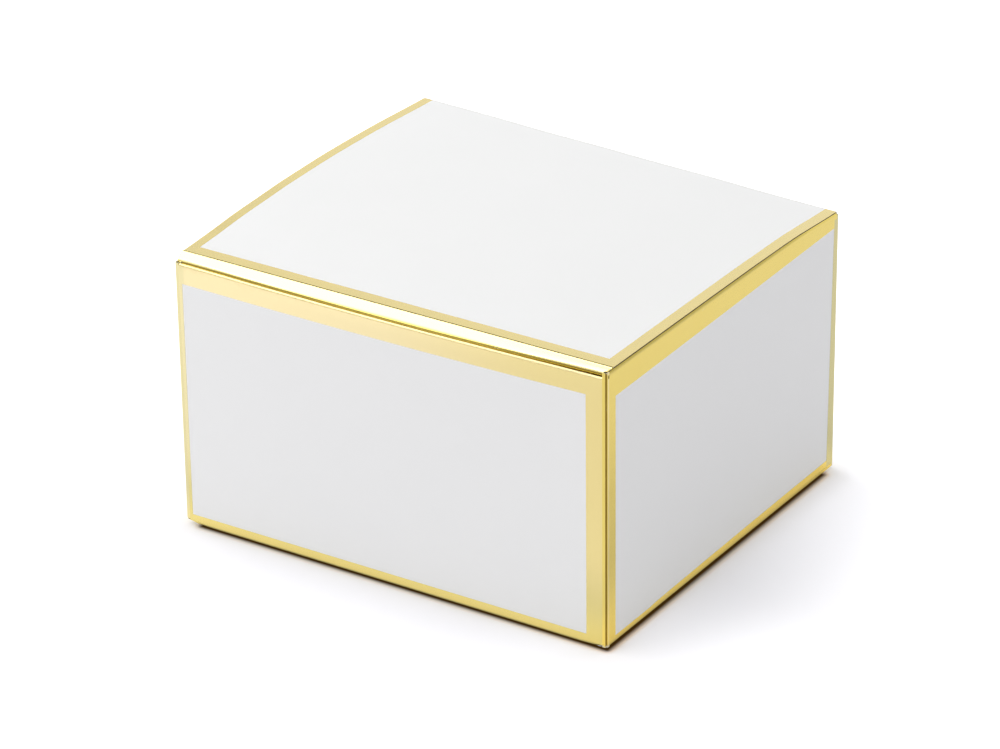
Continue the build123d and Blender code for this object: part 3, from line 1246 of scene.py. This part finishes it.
def grey_card():
    """A dim card in front of the box to the left. Only reflections show it, as a dark line along the roll."""
    place = Vector((-0.083, -0.175, 0.042))
    facing = Vector((0.49, 0.87, 0))
    width, height = 0.24, 0.084
    glow = (1, 0.85, 0.35, 1)
    glow_strength = 0.45
    pick()
    bpy.ops.mesh.primitive_plane_add(size=1.0)
    card = bpy.context.object
    card.name = "studio_grey_card"
    axes = Matrix((Z.cross(facing), Z, facing)).transposed().to_4x4()
    card.matrix_world = Matrix.Translation(place) @ axes @ Matrix.Diagonal((width, height, 1, 1))
    card.visible_camera = False
    card.visible_diffuse = False
    card.visible_shadow = False
    material, _, shader, _ = new_finish("studio_grey_card")
    shader["Base Color"].default_value = (0, 0, 0, 1)
    shader["Roughness"].default_value = 1.0
    shader["Emission Color"].default_value = glow
    shader["Emission Strength"].default_value = glow_strength
    card.data.materials.append(material)


def surroundings():
    """White low down all round, darker overhead, and plain white to the camera."""
    strength_by_height = (0.59, 0.62, 0.93, 0.12)
    world = bpy.data.worlds.new("studio")
    bpy.context.scene.world = world
    world.use_nodes = True
    tree = world.node_tree
    around = tree.nodes.new("ShaderNodeTexCoord").outputs["Generated"]
    strength = remap(tree, split_place(tree, around)["Z"], *strength_by_height)
    to_camera = node(tree, "ShaderNodeLightPath").outputs["Is Camera Ray"]
    background = tree.nodes["Background"].inputs
    tree.links.new(mix_values(tree, to_camera, strength, 1.0), background["Strength"])
    background["Color"].default_value = (1, 1, 1, 1)


def softbox(name, place, width, depth, brightness):
    """A soft light facing straight down: width across the box, depth from front to back."""
    pick()
    bpy.ops.object.light_add(type="AREA", location=place)
    lamp = bpy.context.object
    lamp.name = name
    lamp.data.shape = "RECTANGLE"
    lamp.data.size = width
    lamp.data.size_y = depth
    lamp.data.energy = brightness * pi * width * depth


def camera():
    """The camera fitted to the edges of the two walls that show."""
    place = Vector((261.3, -405.3, 254.2)) * mm
    aim = Vector((-0.888, -1.279, 16.803)) * mm
    roll = radians(-0.71)
    sensor_width = 36.0
    focal_length = 159.277
    nearest = 10 * mm
    pick()
    bpy.ops.object.camera_add(location=place)
    view = bpy.context.object
    turn = (aim - place).to_track_quat("-Z", "Y").to_matrix() @ Matrix.Rotation(roll, 3, "Z")
    view.rotation_euler = turn.to_euler()
    view.data.sensor_width = sensor_width
    view.data.lens = focal_length
    view.data.clip_start = nearest
    bpy.context.scene.camera = view


floor()
grey_card()
surroundings()
softbox("left_softbox", Vector((-0.55, -0.365, 0.72)), width=0.44, depth=1.47, brightness=2.8)
softbox("top_softbox", Vector((-0.10, 0.10, 1.00)), width=0.70, depth=0.70, brightness=2.2)
camera()
bpy.context.scene.view_settings.view_transform = "Standard"
